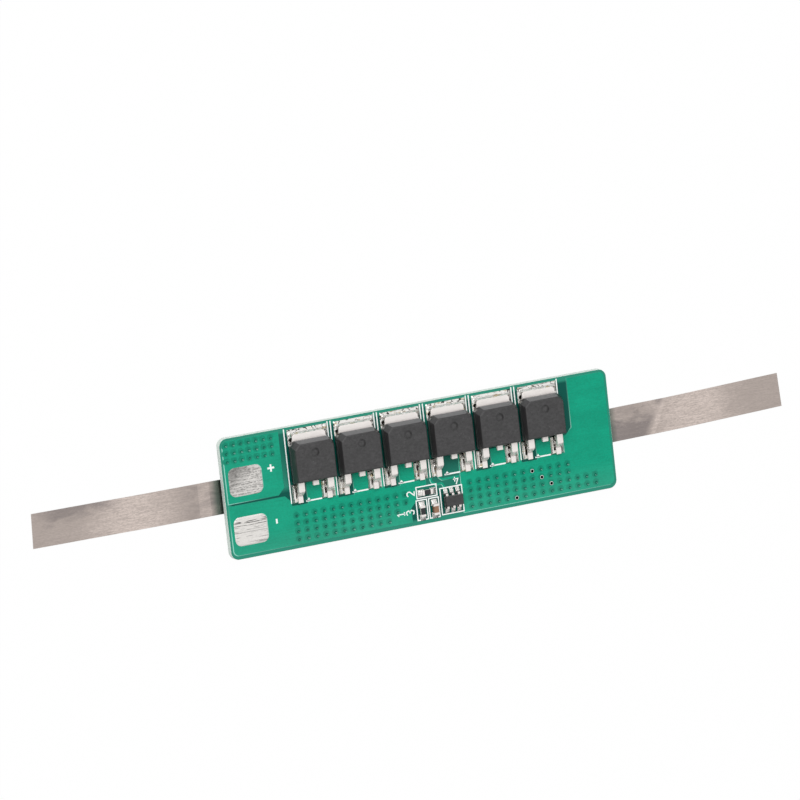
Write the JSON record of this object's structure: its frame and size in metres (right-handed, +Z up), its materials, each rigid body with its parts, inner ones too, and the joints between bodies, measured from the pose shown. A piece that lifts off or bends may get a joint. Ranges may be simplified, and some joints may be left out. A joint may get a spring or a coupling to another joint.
{
  "type": "battery management board",
  "caption": "Narrow single-cell battery protection circuit board with a row of power transistors, a control chip, two output pads and a nickel strip out of each end.",
  "frame": {"origin": "middle of the board's plan, on the plane under the two nickel strips that the part rests on", "axes": "+X along the board from the output pads to the far end, +Y across it towards the transistor tabs, +Z up out of the component side"},
  "size_m": [0.1188, 0.0178, 0.0041],
  "materials": {
    "solder_mask": "green solder mask, satin",
    "tinned_copper": "tinned copper, satin",
    "solder": "solder, glossy",
    "nickel": "nickel strip, fine brushed",
    "mould_epoxy": "moulded epoxy, matt",
    "plated_lead": "tin plated copper, satin",
    "alumina": "white ceramic, matt",
    "resistor_glass": "dark protective glass, glossy",
    "capacitor_ceramic": "brown ceramic, matt"
  },
  "bodies": {
    "root": {"circuit_board": "solder_mask", "via_rings": "tinned_copper", "output_pad_plus": "tinned_copper", "output_pad_minus": "tinned_copper", "battery_pad_left": "tinned_copper", "strip_joint_left": "solder", "nickel_strip_left": "nickel", "battery_pad_right": "tinned_copper", "strip_joint_right": "solder", "nickel_strip_right": "nickel", "transistor_1_body": "mould_epoxy", "transistor_1_drain_tab": "plated_lead", "transistor_1_gate_lead": "plated_lead", "transistor_1_source_lead": "plated_lead", "transistor_1_solder": "solder", "transistor_2_body": "mould_epoxy", "transistor_2_drain_tab": "plated_lead", "transistor_2_gate_lead": "plated_lead", "transistor_2_source_lead": "plated_lead", "transistor_2_solder": "solder", "transistor_3_body": "mould_epoxy", "transistor_3_drain_tab": "plated_lead", "transistor_3_gate_lead": "plated_lead", "transistor_3_source_lead": "plated_lead", "transistor_3_solder": "solder", "transistor_4_body": "mould_epoxy", "transistor_4_drain_tab": "plated_lead", "transistor_4_gate_lead": "plated_lead", "transistor_4_source_lead": "plated_lead", "transistor_4_solder": "solder", "transistor_5_body": "mould_epoxy", "transistor_5_drain_tab": "plated_lead", "transistor_5_gate_lead": "plated_lead", "transistor_5_source_lead": "plated_lead", "transistor_5_solder": "solder", "transistor_6_body": "mould_epoxy", "transistor_6_drain_tab": "plated_lead", "transistor_6_gate_lead": "plated_lead", "transistor_6_source_lead": "plated_lead", "transistor_6_solder": "solder", "control_chip_body": "mould_epoxy", "control_chip_pins": "plated_lead", "control_chip_solder": "solder", "resistor_1_body": "alumina", "resistor_1_film": "resistor_glass", "resistor_1_end_caps": "plated_lead", "resistor_1_solder": "solder", "resistor_2_body": "alumina", "resistor_2_film": "resistor_glass", "resistor_2_end_caps": "plated_lead", "resistor_2_solder": "solder", "capacitor_1_body": "capacitor_ceramic", "capacitor_1_end_caps": "plated_lead", "capacitor_1_solder": "solder"}
  },
  "joints": []
}
